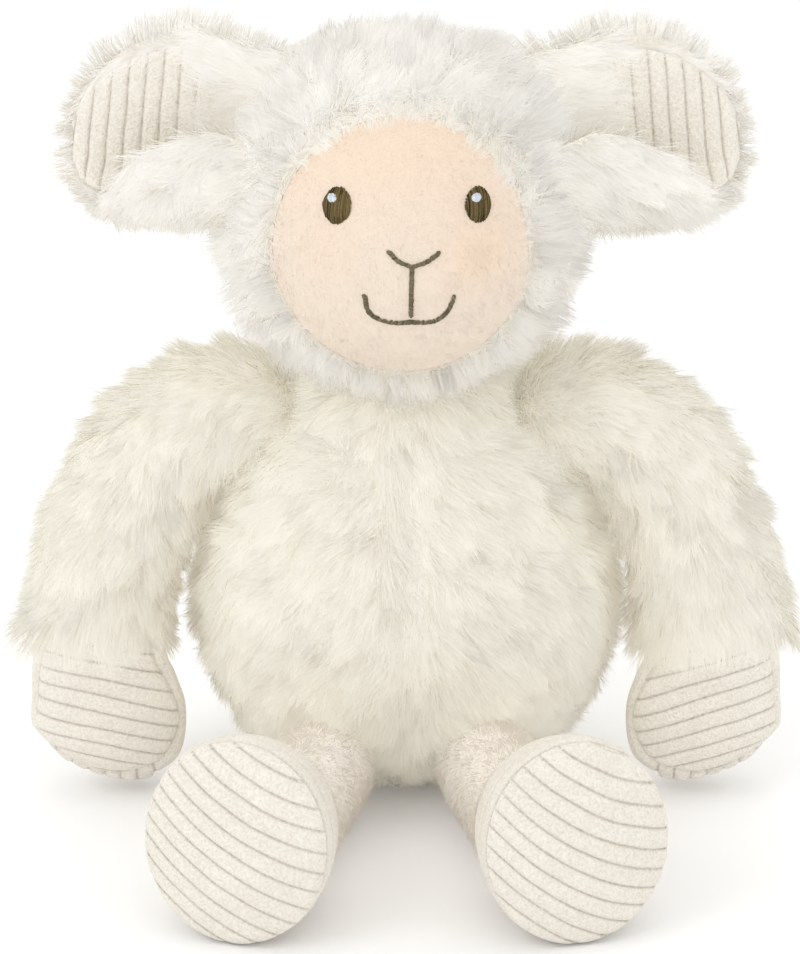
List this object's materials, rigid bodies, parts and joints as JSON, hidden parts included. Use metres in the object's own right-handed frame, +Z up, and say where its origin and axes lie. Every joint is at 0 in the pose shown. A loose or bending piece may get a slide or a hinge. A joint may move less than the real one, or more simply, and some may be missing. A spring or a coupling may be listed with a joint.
{
  "type": "plush sheep",
  "caption": "Seated plush sheep with a long-fur body and head, a smooth round face, and corduroy ears, hands and feet.",
  "frame": {"origin": "centre of the flat under the seat, on the surface it sits on", "axes": "+Z up, the face looks along -Y, the sheep's own left side is +X"},
  "size_m": [0.2344, 0.2149, 0.23],
  "materials": {
    "body_fur": "long combed faux fur",
    "head_fur": "long combed faux fur",
    "face_fleece": "short velvety pile",
    "corduroy": "wide-wale corduroy",
    "leg_fleece": "short pile fleece",
    "brown_thread": "satin-stitched embroidery",
    "eye_thread": "dense embroidery",
    "white_thread": "dense embroidery",
    "stuffing": "loose polyester fibre",
    "bean_cloth": "woven bag of plastic pellets"
  },
  "bodies": {
    "torso": {"body_cover": "body_fur", "body_stuffing": "stuffing", "seat_bean_bag": "bean_cloth"},
    "neck": {"neck_seam": "head_fur"},
    "head": {"head_cover": "head_fur", "head_stuffing": "stuffing", "face_panel": "face_fleece", "left_eye": "eye_thread", "left_eye_highlight": "white_thread", "right_eye": "eye_thread", "right_eye_highlight": "white_thread", "nose_stitch": "brown_thread", "mouth_stitch": "brown_thread"},
    "tail": {"tail": "body_fur"},
    "left_ear": {"left_ear_back": "head_fur", "left_ear_lining": "corduroy"},
    "left_arm": {"left_arm_sleeve": "body_fur", "left_hand_front": "corduroy", "left_hand_back": "corduroy", "left_arm_stuffing": "stuffing"},
    "left_leg": {"left_leg_cover": "leg_fleece", "left_foot_upper": "corduroy", "left_sole": "corduroy", "left_leg_stuffing": "stuffing"},
    "right_ear": {"right_ear_back": "head_fur", "right_ear_lining": "corduroy"},
    "right_arm": {"right_arm_sleeve": "body_fur", "right_hand_front": "corduroy", "right_hand_back": "corduroy", "right_arm_stuffing": "stuffing"},
    "right_leg": {"right_leg_cover": "leg_fleece", "right_foot_upper": "corduroy", "right_sole": "corduroy", "right_leg_stuffing": "stuffing"}
  },
  "joints": [
    {"name": "neck_turn", "type": "hinge", "parent": "torso", "child": "neck", "pos_m": [0, 0, 0.104], "axis": [0, 0, 1], "range_deg": [-24, 24], "stiffness_Nm_per_rad": 0.15},
    {"name": "head_nod", "type": "hinge", "parent": "neck", "child": "head", "pos_m": [0, 0, 0.104], "axis": [1, 0, 0], "range_deg": [-12, 14], "stiffness_Nm_per_rad": 0.3},
    {"name": "left_ear_fold", "type": "hinge", "parent": "head", "child": "left_ear", "pos_m": [0.046, -0.003, 0.201], "axis": [0, 0, -1], "range_deg": [-18, 30], "stiffness_Nm_per_rad": 0.02},
    {"name": "left_shoulder_swing", "type": "hinge", "parent": "torso", "child": "left_arm", "pos_m": [0.0455, 0, 0.113], "axis": [-1, 0, 0], "range_deg": [-35, 90]},
    {"name": "left_hip_swing", "type": "hinge", "parent": "torso", "child": "left_leg", "pos_m": [0.024, -0.0444, 0.0176], "axis": [1, 0, 0], "range_deg": [-15, 70]},
    {"name": "right_ear_fold", "type": "hinge", "parent": "head", "child": "right_ear", "pos_m": [-0.046, -0.003, 0.201], "axis": [0, 0, 1], "range_deg": [-18, 30], "stiffness_Nm_per_rad": 0.02},
    {"name": "right_shoulder_swing", "type": "hinge", "parent": "torso", "child": "right_arm", "pos_m": [-0.0455, 0, 0.113], "axis": [-1, 0, 0], "range_deg": [-35, 90]},
    {"name": "right_hip_swing", "type": "hinge", "parent": "torso", "child": "right_leg", "pos_m": [-0.024, -0.0444, 0.0176], "axis": [1, 0, 0], "range_deg": [-15, 70]},
    {"name": "tail_wag", "type": "hinge", "parent": "torso", "child": "tail", "pos_m": [0, 0.052, 0.036], "axis": [0, 0, 1], "range_deg": [-25, 25], "stiffness_Nm_per_rad": 0.01}
  ]
}
